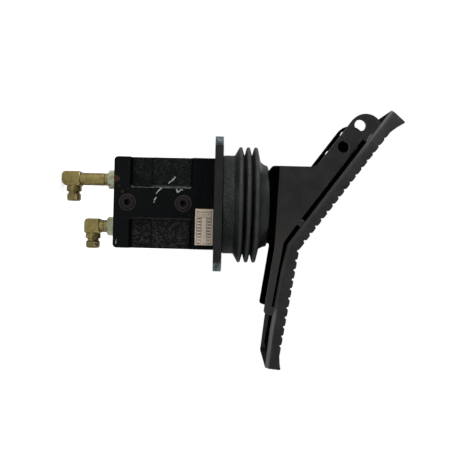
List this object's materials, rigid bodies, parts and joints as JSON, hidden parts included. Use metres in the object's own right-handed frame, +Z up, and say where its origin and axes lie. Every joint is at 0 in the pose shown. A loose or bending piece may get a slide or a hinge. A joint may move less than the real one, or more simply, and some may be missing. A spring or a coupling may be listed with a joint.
{
  "type": "foot pedal valve",
  "caption": "Rocking foot pedal valve: cast two-spool hydraulic body under a mounting plate, rubber boot, steel bracket with ears, ribbed rubber tread and stud elbows.",
  "frame": {"origin": "centre of the mounting plate's underside, the face that rests on the cab floor", "axes": "+Z up along the valve, +X along the pedal towards the heel, +Y along the pivot pin away from the nameplate side"},
  "size_m": [0.2636, 0.1232, 0.3522],
  "materials": {
    "cast_body": "rough-cast iron under black gloss paint",
    "black_steel": "black satin paint on steel plate",
    "cam_iron": "machined cast iron",
    "boot_rubber": "moulded black rubber",
    "tread_rubber": "moulded ribbed black rubber",
    "seal_rubber": "nitrile rubber",
    "yellow_zinc": "yellow-passivated zinc on forged steel",
    "green_zinc": "greenish passivated zinc on a steel nut",
    "bright_steel": "ground steel",
    "spring_steel": "oiled spring steel",
    "black_oxide": "black-oxide steel",
    "bronze": "sintered bronze",
    "plate_metal": "bare etched aluminium"
  },
  "bodies": {
    "valve_housing": {"valve_body": "cast_body", "gallery_plugs": "black_oxide", "plug_o_rings": "seal_rubber", "ball_plug": "black_oxide", "nameplate": "plate_metal", "nameplate_rivets": "plate_metal", "mounting_plate": "black_steel", "pivot_bracket": "cam_iron", "bracket_cap_screws": "black_oxide", "pivot_pin": "bright_steel", "pivot_set_screw": "black_oxide", "boot": "boot_rubber", "toe_elbow": "yellow_zinc", "heel_elbow": "yellow_zinc", "elbow_lock_nuts": "green_zinc", "elbow_washers": "green_zinc", "elbow_o_rings": "seal_rubber", "toe_rod_guide": "bright_steel", "toe_guide_o_ring": "seal_rubber", "toe_rod_wiper": "seal_rubber", "toe_return_spring": "spring_steel", "toe_metering_spring": "spring_steel", "heel_rod_guide": "bright_steel", "heel_guide_o_ring": "seal_rubber", "heel_rod_wiper": "seal_rubber", "heel_return_spring": "spring_steel", "heel_metering_spring": "spring_steel"},
    "pedal": {"rocker_cam": "cam_iron", "cam_bushes": "bronze", "adjusting_screws": "black_oxide", "adjusting_nuts": "black_oxide", "base_plate": "black_steel", "base_screws": "black_oxide", "near_side_plate": "black_steel", "far_side_plate": "black_steel", "pedal_plate": "black_steel", "tread_pad": "tread_rubber"},
    "toe_rod": {"toe_push_rod": "bright_steel", "toe_spring_seat": "bright_steel"},
    "toe_spool": {"toe_spool": "bright_steel", "toe_spool_collar": "bright_steel"},
    "heel_rod": {"heel_push_rod": "bright_steel", "heel_spring_seat": "bright_steel"},
    "heel_spool": {"heel_spool": "bright_steel", "heel_spool_collar": "bright_steel"}
  },
  "joints": [
    {"name": "pedal_rock", "type": "hinge", "parent": "valve_housing", "child": "pedal", "pos_m": [0, 0, 0.026], "axis": [0, 1, 0], "range_deg": [-12, 12], "stiffness_Nm_per_rad": 25, "deforming": ["boot"]},
    {"name": "toe_rod_slide", "type": "slide", "parent": "valve_housing", "child": "toe_rod", "axis": [0, 0, 1], "range_m": [-0.0053, 0.0053], "deforming": ["toe_return_spring", "toe_metering_spring"]},
    {"name": "toe_spool_slide", "type": "slide", "parent": "valve_housing", "child": "toe_spool", "axis": [0, 0, 1], "range_m": [-0.0016, 0.0016]},
    {"name": "heel_rod_slide", "type": "slide", "parent": "valve_housing", "child": "heel_rod", "axis": [0, 0, 1], "range_m": [-0.0053, 0.0053], "deforming": ["heel_return_spring", "heel_metering_spring"]},
    {"name": "heel_spool_slide", "type": "slide", "parent": "valve_housing", "child": "heel_spool", "axis": [0, 0, 1], "range_m": [-0.0016, 0.0016]}
  ],
  "couplings": [
    {"joint": "toe_rod_slide", "follows": "pedal_rock", "m_per_rad": 0.025},
    {"joint": "toe_spool_slide", "follows": "pedal_rock", "m_per_rad": 0.0075},
    {"joint": "heel_rod_slide", "follows": "pedal_rock", "m_per_rad": -0.025},
    {"joint": "heel_spool_slide", "follows": "pedal_rock", "m_per_rad": -0.0075}
  ]
}
